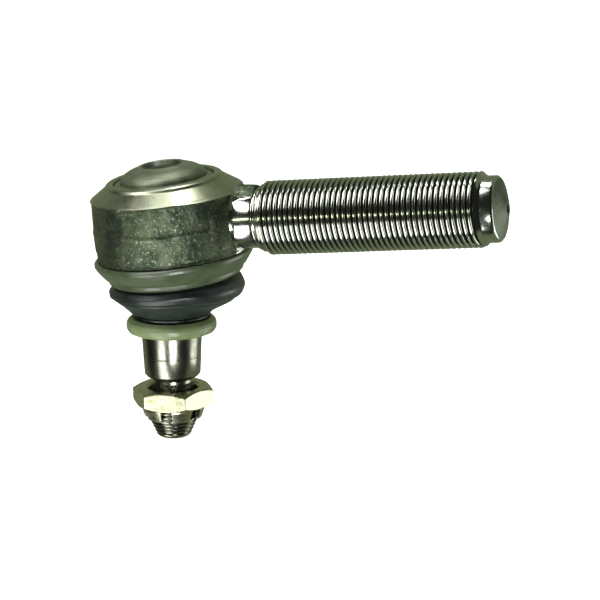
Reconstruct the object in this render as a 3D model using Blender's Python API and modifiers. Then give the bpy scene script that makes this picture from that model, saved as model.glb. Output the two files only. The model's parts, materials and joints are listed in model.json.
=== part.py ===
"""Tie rod end for a heavy steering linkage, built as separate pieces.

Frame: metres, origin at the ball centre, +X along the threaded shank, +Z up through the end cap.
The ball stud hangs below the housing. It is modelled swung a few degrees off the housing's axis,
so every piece on the stud is a child of the stud_pivot empty, which sits at the ball centre.
"""
import math

import bmesh
import bpy
from mathutils import Matrix, Vector

MM = 0.001
ROUND_STEPS = 48
SMALL_STEPS = 36
GAP = 0.3 * MM
CLEAR = 5.0 * MM  # how far a cutter reaches past what it cuts

# Stud: how far it rests from the housing's axis, and the direction in which its tip leans
REST_SWING = math.radians(6.5)
LEAN_AZIMUTH = math.radians(210.0)

# Ball and its seats
BALL_R = 15.0 * MM
SEAT_T = 1.7 * MM
NECK_R = 8.5 * MM
SEAT_MOUTH = math.radians(54.0)
SEAT_SPLIT_Z = 1.0 * MM
SEAT_MOUTH_LAND = 0.9 * MM
BALL_FLAT_Z = 11.0 * MM

# Housing eye
EYE_TOP = (27.8 * MM, 11.5 * MM)
EYE_MID = (28.4 * MM, 0.0)
EYE_BOTTOM = (28.2 * MM, -11.0 * MM)
CONE_TOP = (22.0 * MM, 15.5 * MM)
LIP_R = 18.6 * MM
LIP_Z = 16.9 * MM
LIP_TOP_R = (19.1 * MM, 20.6 * MM)
LIP_FOOT = (21.5 * MM, 16.5 * MM)
BEAK_R = 29.4 * MM
BORE_R = 19.7 * MM
SPIGOT_R = 24.4 * MM
SPIGOT_Z = -17.5 * MM
SPIGOT_BORE_R = 18.2 * MM
SEAT_FLOOR_Z = -12.0 * MM

# Threaded shank, M27 x 2, along +X
THREAD_R = 13.5 * MM
RELIEF_R = 10.8 * MM
RELIEF_X = (30.5 * MM, 35.5 * MM)
# Pairs of radius and x, in mm: the flare from the neck into the eye, and the rib on top of it
NECK_FLARE = ((11.3, 28.2), (12.2, 27.2), (14.0, 26.3), (16.2, 25.3), (17.0, 24.2))
NECK_RIB = ((7.9, 26.5), (7.3, 29.0), (7.0, 31.0), (6.8, 36.2))
NECK_RIB_Z = 5.6 * MM
PILOT_R = 11.85 * MM
PILOT_CHAMFER = (0.9 * MM, 0.8 * MM)
SHANK_ROOT_X = 22.0 * MM
THREAD_X = (36.0 * MM, 40.0 * MM, 121.5 * MM, 123.3 * MM)
THREAD_START_R = 11.2 * MM
SHANK_END_X = 126.4 * MM
END_NUB = (2.7 * MM, 129.0 * MM)
CENTRE_DRILL = (1.8 * MM, 2.4 * MM)

# End cap
CAP_R = 19.3 * MM
CAP_FLANGE_Z = (13.4 * MM, 15.4 * MM)
CAP_DOME_R = 16.2 * MM
CAP_DOME_POWER = 2.6
CAP_TOP_Z = 22.1 * MM
CAP_T = 2.0 * MM
CAP_SIDE_R = 12.0 * MM
CAP_MOUTH_R = 13.6 * MM
DIMPLE = ((3.6, 1.2), (6.6, 0.1))  # radius and depth, in mm
DIMPLE_DEPTH = 1.3 * MM
SEAL_WASHER_T = 1.1 * MM
SEAL_WASHER_R = 16.9 * MM

# Preload spring and the plate under it
SPRING_WIRE_R = 1.0 * MM
SPRING_Z = (12.6 * MM, 18.6 * MM)
SPRING_R = (12.6 * MM, 8.0 * MM)
SPRING_TURNS = 2.5
PLATE_Z = (12.3 * MM, 11.3 * MM)
PLATE_R = (15.9 * MM, 11.0 * MM)

# Boot, its collar and its rings
COLLAR_R = 29.6 * MM
COLLAR_Z = (-11.3 * MM, -20.3 * MM)
COLLAR_LOW_R = 24.1 * MM
COLLAR_LIP_R = 22.6 * MM
BOOT_WAIST_R = 14.9 * MM
BOOT_GROOVE_R = 13.7 * MM
BOOT_BORE_R = 12.1 * MM
BOOT_LOW_Z = -35.2 * MM
BOOT_BEND_Z = (COLLAR_Z[1], -32.5 * MM)
WIRE_R = 0.6 * MM
WIRE_Z = -34.45 * MM
SEAL_R = 16.8 * MM
SEAL_TOP_R = 15.2 * MM
SEAL_Z = (-35.6 * MM, -41.6 * MM)

# Stud below the ball: 1:10 cone, then the M18 x 1.5 thread
TAPER_Z = (-33.0 * MM, -57.4 * MM)
TAPER_LOW_R = 10.45 * MM
TAPER_SLOPE = 0.05
UNDERCUT_R = 7.45 * MM
STUD_THREAD_R = 9.0 * MM
STUD_THREAD_Z = -66.0 * MM
STUD_END_R = 6.5 * MM
STUD_END_Z = -81.6 * MM
STUD_TIP_Z = -75.0 * MM
COTTER_HOLE_R = 2.15 * MM
COTTER_HOLE_Z = -72.2 * MM

# Castle nut, 27 mm across flats
NUT_FLATS = 27.0 * MM
NUT_Z = (-62.5 * MM, -69.4 * MM, -74.3 * MM)
NUT_CASTLE_R = (11.9 * MM, 10.5 * MM)
NUT_SLOT = 4.5 * MM
NUT_CHAMFER = 0.3 * MM
NUT_BORE_CHAMFER = 0.9 * MM
NUT_TURN = math.radians(9.2)
SLOT_TO_CORNER = math.radians(30.0)


def clear_scene():
    for obj in list(bpy.data.objects):
        bpy.data.objects.remove(obj, do_unlink=True)


def new_collection(name):
    collection = bpy.data.collections.new(name)
    bpy.context.scene.collection.children.link(collection)
    return collection


def material(name, colour, metallic, roughness):
    mat = bpy.data.materials.new(name)
    mat.use_nodes = True
    shader = mat.node_tree.nodes["Principled BSDF"]
    shader.inputs["Base Color"].default_value = (*colour, 1.0)
    shader.inputs["Metallic"].default_value = metallic
    shader.inputs["Roughness"].default_value = roughness
    return mat


def arc(radius, start, end, steps):
    """Points on a circle round the ball centre, with angles measured from +Z towards +X."""
    angles = [start + (end - start) * i / steps for i in range(steps + 1)]
    return [(radius * math.sin(a), radius * math.cos(a)) for a in angles]


def turned(name, profile, collection, steps=ROUND_STEPS, mat=None, closed=False):
    """A turned piece about Z. The profile runs from the top down the outer side; a closed one
    goes on up the inner side to make a ring, an open one starts and ends on the axis."""
    mesh = bpy.data.meshes.new(name)
    count = len(profile)
    edges = [(i, i + 1) for i in range(count - 1)]
    if closed:
        edges.append((count - 1, 0))
    mesh.from_pydata([(r, 0.0, z) for r, z in profile], edges, [])
    obj = bpy.data.objects.new(name, mesh)
    collection.objects.link(obj)
    screw = obj.modifiers.new("turn", "SCREW")
    screw.axis = "Z"
    screw.steps = steps
    screw.render_steps = steps
    screw.use_merge_vertices = True
    screw.merge_threshold = 0.00001
    if mat:
        obj.data.materials.append(mat)
    return obj


def evaluated_copy(obj, name):
    """The object's mesh with its modifiers applied."""
    bpy.context.view_layer.update()
    depsgraph = bpy.context.evaluated_depsgraph_get()
    mesh = bpy.data.meshes.new_from_object(obj.evaluated_get(depsgraph))
    mesh.name = name
    return mesh


def cut(obj, tool, operation="DIFFERENCE"):
    tool.hide_render = True
    tool.display_type = "WIRE"
    boolean = obj.modifiers.new(tool.name, "BOOLEAN")
    boolean.operation = operation
    boolean.solver = "EXACT"
    boolean.object = tool


def shade(obj, angle=30.0):
    """Applies the modifiers and shades the round sides smooth."""
    mesh = evaluated_copy(obj, obj.name)
    obj.modifiers.clear()
    obj.data = mesh
    mesh.shade_smooth()
    mesh.set_sharp_from_angle(angle=math.radians(angle))


def box(name, size, place, collection, turn=0.0):
    mesh = bpy.data.meshes.new(name)
    bm = bmesh.new()
    bmesh.ops.create_cube(bm, size=1.0)
    bmesh.ops.scale(bm, vec=size, verts=bm.verts)
    bm.to_mesh(mesh)
    bm.free()
    obj = bpy.data.objects.new(name, mesh)
    obj.location = place
    obj.rotation_euler.z = turn
    collection.objects.link(obj)
    return obj


def cylinder(name, radius, depth, collection, segments=24):
    mesh = bpy.data.meshes.new(name)
    bm = bmesh.new()
    bmesh.ops.create_cone(
        bm, cap_ends=True, segments=segments, radius1=radius, radius2=radius, depth=depth
    )
    bm.to_mesh(mesh)
    bm.free()
    obj = bpy.data.objects.new(name, mesh)
    collection.objects.link(obj)
    return obj


def make_housing(parts, tools, mat):
    """Forged eye with the shank in one piece: the eye is turned, the shank joined to it."""
    mouth_r = (BALL_R + GAP + SEAT_T + GAP) * math.sin(SEAT_MOUTH) + SEAT_MOUTH_LAND
    eye = [
        (LIP_R, LIP_Z - 0.5 * MM),
        (LIP_TOP_R[0], LIP_Z),
        (LIP_TOP_R[1], LIP_Z),
        LIP_FOOT,
        CONE_TOP,
        EYE_TOP,
        EYE_MID,
        EYE_BOTTOM,
        (SPIGOT_R, EYE_BOTTOM[1]),
        (SPIGOT_R, SPIGOT_Z),
        (SPIGOT_BORE_R, SPIGOT_Z),
        (mouth_r, SEAT_FLOOR_Z),
        (BORE_R, SEAT_FLOOR_Z),
        (BORE_R, CAP_FLANGE_Z[1] + GAP),
        (LIP_R, CAP_FLANGE_Z[1] + GAP),
    ]
    housing = turned("housing", eye, parts, mat=mat, closed=True)

    x1, x2, x3, x4 = THREAD_X
    drill_r, drill_depth = CENTRE_DRILL
    chamfer_r, chamfer_x = PILOT_CHAMFER
    shank = [
        (0.0, END_NUB[1] - drill_depth),
        (drill_r, END_NUB[1]),
        END_NUB,
        (PILOT_R - chamfer_r, SHANK_END_X),
        (PILOT_R, SHANK_END_X - chamfer_x),
        (PILOT_R, x4),
        (THREAD_R, x3),
        (THREAD_R, x2),
        (THREAD_START_R, x1),
        (RELIEF_R, RELIEF_X[1]),
        (RELIEF_R, RELIEF_X[0]),
    ]
    shank += [(r * MM, x * MM) for r, x in NECK_FLARE]
    shank += [(shank[-1][0], SHANK_ROOT_X), (0.0, SHANK_ROOT_X)]
    bar = turned("shank_bar", shank, tools)
    bar.rotation_euler.y = math.pi / 2
    cut(housing, bar, "UNION")

    rib = [(0.0, NECK_RIB[-1][1] * MM)] + [(r * MM, x * MM) for r, x in NECK_RIB[::-1]]
    rib += [(rib[-1][0], SHANK_ROOT_X), (0.0, SHANK_ROOT_X)]
    rib_bar = turned("neck_rib_bar", rib, tools, SMALL_STEPS)
    rib_bar.rotation_euler.y = math.pi / 2
    rib_bar.location.z = NECK_RIB_Z
    cut(housing, rib_bar, "UNION")

    slope = (CONE_TOP[1] - EYE_TOP[1]) / (EYE_TOP[0] - CONE_TOP[0])
    lift = 0.01 * MM
    above = CONE_TOP[1] + CLEAR
    cone = [
        (BEAK_R, above),
        (BEAK_R, CONE_TOP[1] - slope * (BEAK_R - CONE_TOP[0]) + lift),
        (CONE_TOP[0], CONE_TOP[1] + lift),
        (CONE_TOP[0], above),
    ]
    cut(housing, turned("cone_cutter", cone, tools, closed=True))

    facing = [
        (EYE_BOTTOM[0] + CLEAR, EYE_BOTTOM[1]),
        (EYE_BOTTOM[0] + CLEAR, SPIGOT_Z - CLEAR),
        (SPIGOT_R, SPIGOT_Z - CLEAR),
        (SPIGOT_R, EYE_BOTTOM[1]),
    ]
    cut(housing, turned("facing_cutter", facing, tools, closed=True))
    shade(housing)


def make_end_cap(parts, mat):
    """Pressed sheet cap: flat flange under the crimped lip, dome, dimple in the middle."""
    low, high = CAP_FLANGE_Z
    rise = CAP_TOP_Z - high
    outer = [(0.0, CAP_TOP_Z - DIMPLE_DEPTH)]
    outer += [(r * MM, CAP_TOP_Z - depth * MM) for r, depth in DIMPLE]
    outer += [
        (r * MM, high + rise * math.sqrt(1.0 - (r * MM / CAP_DOME_R) ** CAP_DOME_POWER))
        for r in (8.5, 10.5, 12.5, 14.0, 15.2, 15.9)
    ]
    outer.append((CAP_DOME_R, high))
    inner = [(r - CAP_T * 0.93, z - CAP_T * 0.6) for r, z in outer if r > CAP_SIDE_R]
    inner += [(CAP_MOUTH_R, low)]
    top = [(r, z - CAP_T) for r, z in outer if r < CAP_SIDE_R]
    lower = [p for p in top + inner if p[1] >= low]
    profile = outer + [(CAP_R, high), (CAP_R, low)] + lower[::-1]
    cap = turned("end_cap", profile, parts, mat=mat)
    shade(cap, 40.0)


def make_cap_seal(parts, mat):
    """Flat sealing ring squeezed between the cap's flange and the bore's step."""
    z1 = CAP_FLANGE_Z[0] - GAP
    z0 = z1 - SEAL_WASHER_T
    ring = [(CAP_R, z1), (CAP_R, z0), (SEAL_WASHER_R, z0), (SEAL_WASHER_R, z1)]
    shade(turned("cap_seal_ring", ring, parts, SMALL_STEPS, mat, closed=True))


def make_preload_spring(parts, mat):
    """Conical coil between the spring plate and the cap."""
    points_per_turn = 20
    low_z, high_z = SPRING_Z[0] + SPRING_WIRE_R, SPRING_Z[1] - SPRING_WIRE_R
    low_r, high_r = SPRING_R
    count = int(SPRING_TURNS * points_per_turn)
    curve = bpy.data.curves.new("spring_curve", "CURVE")
    curve.dimensions = "3D"
    curve.bevel_depth = SPRING_WIRE_R
    curve.bevel_resolution = 2
    curve.use_fill_caps = True
    spline = curve.splines.new("POLY")
    spline.points.add(count)
    for i, point in enumerate(spline.points):
        t = i / count
        angle = 2 * math.pi * SPRING_TURNS * t
        radius = low_r + (high_r - low_r) * t
        z = low_z + (high_z - low_z) * t
        point.co = (radius * math.cos(angle), radius * math.sin(angle), z, 1.0)
    obj = bpy.data.objects.new("preload_spring", curve)
    curve.materials.append(mat)
    parts.objects.link(obj)


def make_spring_plate(parts, mat):
    """Pressed steel washer that spreads the spring's load over the upper seat."""
    top, low = PLATE_Z
    outer, inner = PLATE_R
    plate = [(outer, top), (outer, low), (inner, low), (inner, top)]
    shade(turned("spring_plate", plate, parts, SMALL_STEPS, mat, closed=True))


def make_ball_seats(parts, mat):
    """Two plastic bearing halves. The upper one slides in the bore, the lower one is fixed."""
    inner = BALL_R + GAP
    outer_r = BORE_R - GAP
    start = math.acos(BALL_FLAT_Z / inner)
    split = math.acos((SEAT_SPLIT_Z + GAP) / inner)
    upper = [(outer_r, BALL_FLAT_Z), (outer_r, SEAT_SPLIT_Z + GAP)]
    upper += arc(inner, split, start, 6)
    shade(turned("upper_ball_seat", upper, parts, mat=mat, closed=True))

    low_z = SEAT_FLOOR_Z + GAP
    end = math.pi - SEAT_MOUTH
    lower = [(outer_r, SEAT_SPLIT_Z), (outer_r, low_z)]
    lower.append((inner * math.sin(end) + 1.2 * MM, low_z))
    lower += arc(inner, end, math.acos(SEAT_SPLIT_Z / inner), 8)
    shade(turned("lower_ball_seat", lower, parts, mat=mat, closed=True))


def make_boot_collar(parts, mat):
    """Ring that holds the boot's upper bead on the housing's spigot."""
    top, low = COLLAR_Z
    inner = SPIGOT_R + GAP
    profile = [
        (inner, top),
        (COLLAR_R - 0.5 * MM, top),
        (COLLAR_R, top - 0.5 * MM),
        (COLLAR_R - 0.1 * MM, top - 1.9 * MM),
        (28.4 * MM, top - 3.6 * MM),
        (26.2 * MM, top - 6.4 * MM),
        (COLLAR_LOW_R + 0.6 * MM, low + 0.8 * MM),
        (COLLAR_LOW_R, low),
        (COLLAR_LIP_R, low),
        (COLLAR_LIP_R, low + 0.9 * MM),
        (inner, low + 0.9 * MM),
    ]
    shade(turned("boot_collar", profile, parts, mat=mat, closed=True))


def stud_place(point, weight=1.0):
    """Where a point goes when it follows the stud by the given weight."""
    axis = Vector((-math.sin(LEAN_AZIMUTH), math.cos(LEAN_AZIMUTH), 0.0))
    return Matrix.Rotation(REST_SWING * weight, 3, -axis) @ Vector(point)


def make_boot(parts, mat):
    """Rubber bellows: its bead is held by the collar, its waist by the wire ring on the stud."""
    top = SPIGOT_Z - GAP
    waist_z = BOOT_LOW_Z
    outer = [
        (24.2 * MM, top),
        (24.2 * MM, COLLAR_Z[1] + 1.2 * MM),
        (22.2 * MM, COLLAR_Z[1] + 1.2 * MM),
        (22.2 * MM, COLLAR_Z[1] - 0.3 * MM),
        (24.3 * MM, -21.6 * MM),
        (25.2 * MM, -23.4 * MM),
        (24.8 * MM, -25.4 * MM),
        (22.8 * MM, -27.4 * MM),
        (20.2 * MM, -29.2 * MM),
        (18.0 * MM, -31.0 * MM),
        (16.2 * MM, -32.6 * MM),
        (BOOT_WAIST_R + 0.2 * MM, -33.4 * MM),
        (BOOT_GROOVE_R, -33.7 * MM),
        (BOOT_GROOVE_R, waist_z + 0.1 * MM),
        (14.6 * MM, waist_z),
    ]
    inner = [
        (BOOT_BORE_R, waist_z),
        (BOOT_BORE_R, -33.0 * MM),
        (13.6 * MM, -31.4 * MM),
        (15.8 * MM, -29.4 * MM),
        (18.2 * MM, -27.4 * MM),
        (20.8 * MM, -25.2 * MM),
        (22.4 * MM, -23.2 * MM),
        (21.4 * MM, -21.6 * MM),
        (19.8 * MM, -20.2 * MM),
        (19.4 * MM, top),
    ]
    boot = turned("boot", outer + inner, parts, mat=mat, closed=True)
    shade(boot, 60.0)
    held_z, carried_z = BOOT_BEND_Z
    for vertex in boot.data.vertices:
        t = min(1.0, max(0.0, (held_z - vertex.co.z) / (held_z - carried_z)))
        vertex.co = stud_place(vertex.co, t * t * (3.0 - 2.0 * t))


def taper_r(z):
    """Radius of the stud's cone at height z."""
    return TAPER_LOW_R + TAPER_SLOPE * (z - TAPER_Z[1])


def make_ball_stud(parts, tools, mat):
    """Ball, neck, 1:10 cone, undercut and thread in one piece, with the cotter pin's hole."""
    neck_angle = math.pi - math.asin(NECK_R / BALL_R)
    profile = [(0.0, BALL_FLAT_Z)]
    profile += arc(BALL_R, math.acos(BALL_FLAT_Z / BALL_R), neck_angle, 15)
    profile += [
        (NECK_R, -16.0 * MM),
        (NECK_R + 0.5 * MM, -20.0 * MM),
        (taper_r(TAPER_Z[0]) - 0.2 * MM, TAPER_Z[0] + 2.0 * MM),
        (taper_r(TAPER_Z[0]), TAPER_Z[0]),
        (TAPER_LOW_R, TAPER_Z[1]),
        (TAPER_LOW_R - 0.6 * MM, TAPER_Z[1] - 0.5 * MM),
        (UNDERCUT_R, TAPER_Z[1] - 0.9 * MM),
        (UNDERCUT_R, STUD_THREAD_Z + 1.4 * MM),
        (STUD_THREAD_R, STUD_THREAD_Z),
        (STUD_THREAD_R, STUD_TIP_Z),
        (STUD_END_R, STUD_END_Z),
        (0.0, STUD_END_Z),
    ]
    stud = turned("ball_stud", profile, parts, mat=mat)
    drill = cylinder("cotter_drill", COTTER_HOLE_R, 30.0 * MM, tools)
    drill.location.z = COTTER_HOLE_Z
    drill.rotation_euler = (math.pi / 2, 0.0, NUT_TURN + 2.0 * SLOT_TO_CORNER)
    cut(stud, drill)
    shade(stud)
    return stud, drill


def make_lower_ring(parts, mat):
    """Wire ring that clamps the boot's waist on the stud's seal."""
    mesh = bpy.data.meshes.new("boot_lower_ring")
    bm = bmesh.new()
    bmesh.ops.create_circle(bm, cap_ends=False, segments=8, radius=WIRE_R)
    bm.to_mesh(mesh)
    bm.free()
    radius = BOOT_GROOVE_R + WIRE_R + GAP
    profile = [(radius + v.co.x, WIRE_Z - v.co.y) for v in mesh.vertices]
    ring = turned("boot_lower_ring", profile, parts, mat=mat, closed=True)
    shade(ring, 60.0)
    return ring


def make_seal_ring(parts, mat):
    """Plastic ring that seats the boot on the cone's upper end."""
    top, low = SEAL_Z
    inner = taper_r(top) + GAP
    profile = [
        (inner, top),
        (SEAL_TOP_R, top),
        (SEAL_R - 0.3 * MM, top - 1.6 * MM),
        (SEAL_R, top - 2.4 * MM),
        (SEAL_R, low + 2.2 * MM),
        (SEAL_R - 0.5 * MM, low + 1.1 * MM),
        (SEAL_TOP_R, low + 0.2 * MM),
        (14.2 * MM, low),
        (inner, low),
    ]
    ring = turned("stud_seal_ring", profile, parts, mat=mat, closed=True)
    shade(ring, 50.0)
    return ring


def make_castle_nut(parts, tools, mat):
    """Hexagon with turned corners, castle with six slots, one in the middle of each flat.
    The primitive has a corner on +Y and the slots run along Y, so the hexagon is turned more."""
    top, step, low = NUT_Z
    corner_r = NUT_FLATS / 2 / math.cos(SLOT_TO_CORNER)
    hexagon = cylinder("castle_nut", corner_r, top - step, parts, segments=6)
    hexagon.data.materials.append(mat)
    for vertex in hexagon.data.vertices:
        vertex.co = Matrix.Rotation(NUT_TURN + SLOT_TO_CORNER, 3, "Z") @ vertex.co
        vertex.co.z += (top + step) / 2

    chamfer_slope = math.tan(math.radians(30.0))
    face_r = NUT_FLATS / 2 - NUT_CHAMFER
    wide_r = corner_r + GAP
    drop = chamfer_slope * (wide_r - face_r)
    blank = [
        (0.0, top + CLEAR),
        (face_r, top + CLEAR),
        (face_r, top),
        (wide_r, top - drop),
        (wide_r, step + drop),
        (face_r, step),
        (face_r, step - CLEAR),
        (0.0, step - CLEAR),
    ]
    cut(hexagon, turned("nut_blank", blank, tools), "INTERSECT")
    castle = [
        (0.0, step + 1.0 * MM),
        (NUT_CASTLE_R[0], step + 1.0 * MM),
        (NUT_CASTLE_R[0], step - 1.0 * MM),
        (NUT_CASTLE_R[1], low),
        (0.0, low),
    ]
    cut(hexagon, turned("nut_castle", castle, tools), "UNION")
    bore_r = STUD_THREAD_R + GAP
    bore = [
        (0.0, top + CLEAR),
        (bore_r + CLEAR + NUT_BORE_CHAMFER, top + CLEAR),
        (bore_r, top - NUT_BORE_CHAMFER),
        (bore_r, low - CLEAR),
        (0.0, low - CLEAR),
    ]
    cut(hexagon, turned("nut_bore", bore, tools), "DIFFERENCE")
    for k in range(3):
        size = (NUT_SLOT, 40.0 * MM, 10.0 * MM)
        place = (0.0, 0.0, step - 0.1 * MM - size[2] / 2)
        turn = NUT_TURN + 2.0 * SLOT_TO_CORNER * k
        cut(hexagon, box(f"nut_slot_{k}", size, place, tools, turn), "DIFFERENCE")
    shade(hexagon, 20.0)
    return hexagon


def hang_on_stud(objects, parts):
    """Parents the stud's pieces to an empty at the ball centre, turned to the stud's rest."""
    pivot = bpy.data.objects.new("stud_pivot", None)
    parts.objects.link(pivot)
    axis = Vector((math.sin(LEAN_AZIMUTH), -math.cos(LEAN_AZIMUTH), 0.0))
    pivot.rotation_euler = Matrix.Rotation(REST_SWING, 3, axis).to_euler()
    for obj in objects:
        obj.parent = pivot


def main():
    clear_scene()
    parts = new_collection("tie_rod_end")
    tools = new_collection("cutters")
    forged = material("forged_steel", (0.12, 0.125, 0.11), 0.7, 0.55)
    pressed = material("pressed_steel", (0.30, 0.32, 0.27), 0.9, 0.38)
    turned_steel = material("turned_steel", (0.50, 0.51, 0.47), 1.0, 0.25)
    spring_steel = material("spring_steel", (0.20, 0.20, 0.19), 0.9, 0.4)
    zinc = material("yellow_zinc", (0.72, 0.70, 0.42), 1.0, 0.3)
    olive = material("olive_plastic", (0.20, 0.24, 0.13), 0.0, 0.45)
    seat = material("seat_plastic", (0.80, 0.79, 0.74), 0.0, 0.4)
    rubber = material("boot_rubber", (0.015, 0.022, 0.024), 0.0, 0.5)

    make_housing(parts, tools, forged)
    make_end_cap(parts, pressed)
    make_cap_seal(parts, rubber)
    make_preload_spring(parts, spring_steel)
    make_spring_plate(parts, pressed)
    make_ball_seats(parts, seat)
    make_boot_collar(parts, olive)
    make_boot(parts, rubber)
    stud, drill = make_ball_stud(parts, tools, turned_steel)
    ring = make_lower_ring(parts, spring_steel)
    seal = make_seal_ring(parts, olive)
    nut = make_castle_nut(parts, tools, zinc)
    hang_on_stud((stud, drill, ring, seal, nut), parts)


main()
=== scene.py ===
"""Looks of the tie rod end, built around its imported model.

Metres in the model's frame: the origin is the ball centre, +X runs along the threaded shank and
+Z up through the end cap. Profiles and other small sizes are written in millimetres, and a
piece on the stud is modelled upright and then leaned with the stud.
"""
import json
import math

import bmesh
import bpy
from mathutils import Matrix, Vector, noise

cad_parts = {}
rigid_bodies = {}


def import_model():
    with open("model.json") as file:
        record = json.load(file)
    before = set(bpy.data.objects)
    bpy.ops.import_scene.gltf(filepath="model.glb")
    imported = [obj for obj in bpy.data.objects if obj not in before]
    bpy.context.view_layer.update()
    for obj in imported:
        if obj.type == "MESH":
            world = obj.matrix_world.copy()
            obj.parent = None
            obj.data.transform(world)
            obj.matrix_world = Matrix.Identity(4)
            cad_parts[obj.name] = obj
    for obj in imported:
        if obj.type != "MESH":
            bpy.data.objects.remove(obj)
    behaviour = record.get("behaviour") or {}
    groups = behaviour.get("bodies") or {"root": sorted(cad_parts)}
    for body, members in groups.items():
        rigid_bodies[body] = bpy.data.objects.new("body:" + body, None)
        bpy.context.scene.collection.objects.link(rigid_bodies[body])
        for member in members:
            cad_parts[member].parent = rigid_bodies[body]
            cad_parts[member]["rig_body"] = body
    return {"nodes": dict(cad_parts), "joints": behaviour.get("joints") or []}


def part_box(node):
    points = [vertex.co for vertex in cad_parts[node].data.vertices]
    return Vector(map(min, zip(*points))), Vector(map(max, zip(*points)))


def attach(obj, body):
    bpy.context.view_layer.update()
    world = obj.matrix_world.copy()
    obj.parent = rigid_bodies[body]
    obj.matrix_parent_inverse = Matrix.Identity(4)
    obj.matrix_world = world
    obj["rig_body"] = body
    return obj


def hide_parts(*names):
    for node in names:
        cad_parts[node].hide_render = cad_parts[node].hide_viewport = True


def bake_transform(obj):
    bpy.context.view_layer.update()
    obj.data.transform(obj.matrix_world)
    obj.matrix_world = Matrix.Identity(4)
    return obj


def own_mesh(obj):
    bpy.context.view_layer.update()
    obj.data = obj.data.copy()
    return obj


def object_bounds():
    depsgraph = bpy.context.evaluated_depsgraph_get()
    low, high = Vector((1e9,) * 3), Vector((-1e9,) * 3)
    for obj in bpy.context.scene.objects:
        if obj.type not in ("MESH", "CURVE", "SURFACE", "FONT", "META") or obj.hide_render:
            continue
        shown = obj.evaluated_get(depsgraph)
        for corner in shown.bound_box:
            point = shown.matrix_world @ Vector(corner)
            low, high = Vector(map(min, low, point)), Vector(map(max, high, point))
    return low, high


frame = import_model()
cad_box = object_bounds()

MM = 0.001
SEGMENTS = 192
THREAD_SEGMENTS = 144
JOINTS = {joint["name"]: joint for joint in frame["joints"]}
STUD_UP = Vector(JOINTS["stud_spin"]["axis"]).normalized()
LEAN = Vector((0.0, 0.0, 1.0)).rotation_difference(STUD_UP).to_matrix().to_4x4()
ALONG_SHANK = Matrix.Rotation(math.pi / 2, 4, "Y")

# Sizes that the frame gives, in mm
END_NUB_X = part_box("housing")[1].x / MM
SHANK_END_X = END_NUB_X - 2.6
SPIGOT_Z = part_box("housing")[0].z / MM
LIP_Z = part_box("housing")[1].z / MM
EYE_R = -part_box("housing")[0].x / MM
CAP_TOP_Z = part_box("end_cap")[1].z / MM
CAP_FLANGE_LOW_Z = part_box("end_cap")[0].z / MM
COLLAR_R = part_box("boot_collar")[1].x / MM
COLLAR_TOP_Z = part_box("boot_collar")[1].z / MM
COLLAR_LOW_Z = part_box("boot_collar")[0].z / MM

# Eye, and the seat's floor inside it
EYE_TOP_R = 27.8
EYE_TOP_Z = 11.5
EYE_BOTTOM_R = 28.2
EYE_BOTTOM_Z = -11.0
CONE_TOP_R = 22.0
CONE_TOP_Z = 15.5
CONE_SLOPE = (CONE_TOP_Z - EYE_TOP_Z) / (EYE_TOP_R - CONE_TOP_R)
BEAK_R = 29.4
SHOULDER_X = 3.0
SHOULDER_R = 26.4
BORE_R = 19.7
SEAT_FLOOR_Z = -12.0
SEAT_MOUTH_R = 14.9
SPIGOT_R = 24.4
LIP_R = 18.6

# Cap
CAP_DOME_R = 16.2
CAP_DOME_FOOT_Z = 16.2
CAP_DOME_POWER = 2.6
CAP_FLANGE_R = 19.3
CAP_FLANGE_TOP_Z = 15.4
DIMPLE_RIM_R = 10.4
# Inside this radius the dimple's floor gets a darker copy of the cap steel: painted shade.
DIMPLE_SHADE_R = 6.8

# Shank, M27 x 2
THREAD_R = 13.5
THREAD_PITCH = 2.0
THREAD_FROM_X = 36.0
THREAD_TO_X = 121.6
THREAD_FULL_X = 40.0
THREAD_CHAMFER_X = 120.1
PILOT_FROM_X = 121.9
RELIEF_R = 10.8
PILOT_R = 11.85
BRIGHT_FROM_X = 28.2
RIB_Z = 5.6
RIB_END_X = 36.2
SHANK_RUN_IN = 3.0
# Thread faces deeper than this radius are painted near-black: painted shade in the thread's roots.
ROOT_SHADE_R = THREAD_R - 0.6

# Stud, M18 x 1.5 below a 1:10 cone
BALL_R = 15.0
TAPER_TOP_Z = -33.0
TAPER_LOW_Z = -57.4
TAPER_LOW_R = 10.45
TAPER_SLOPE = 0.05
STUD_THREAD_R = 9.0
STUD_PITCH = 1.5
STUD_THREAD_Z = -66.0
STUD_END_Z = -81.6
STUD_TAPER_L = 6.6
STUD_RUN_IN = 1.5
NECK_R = 8.5
BALL_FLAT_Z = 11.0
COTTER_HOLE_R = 2.15
COTTER_HOLE_Z = -72.2

# Castle nut, 27 mm across flats
NUT_FLATS = 27.0
NUT_TOP_Z = -62.5
NUT_STEP_Z = -69.4
NUT_LOW_Z = -74.3
NUT_CASTLE_TOP_R = 11.9
NUT_CASTLE_LOW_R = 10.5
NUT_SLOT = 4.5
NUT_TURN = math.radians(9.2)

# A thread's form over one pitch: place along the pitch, and height from root to crest
THREAD_FORM = (
    (0.0, 0.0), (0.20, 0.50), (0.34, 0.92), (0.39, 0.985),
    (0.5, 1.0), (0.61, 0.985), (0.66, 0.92), (0.80, 0.50),
)
THREAD_DEPTH = 0.6134

# Preload spring
SPRING_WIRE_R = 1.0
SPRING_TURNS = 2.5
SPRING_LOW_R = 12.6
SPRING_TOP_R = 8.0

# Boot
BOOT_HELD_Z = COLLAR_LOW_Z
BOOT_CARRIED_Z = -32.5
BOOT_SAG = 4.2
WIRE_R = 0.3
WIRE_RING_R = 14.3
WIRE_RING_Z = -34.45


# ---------------------------------------------------------------- shapes

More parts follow.
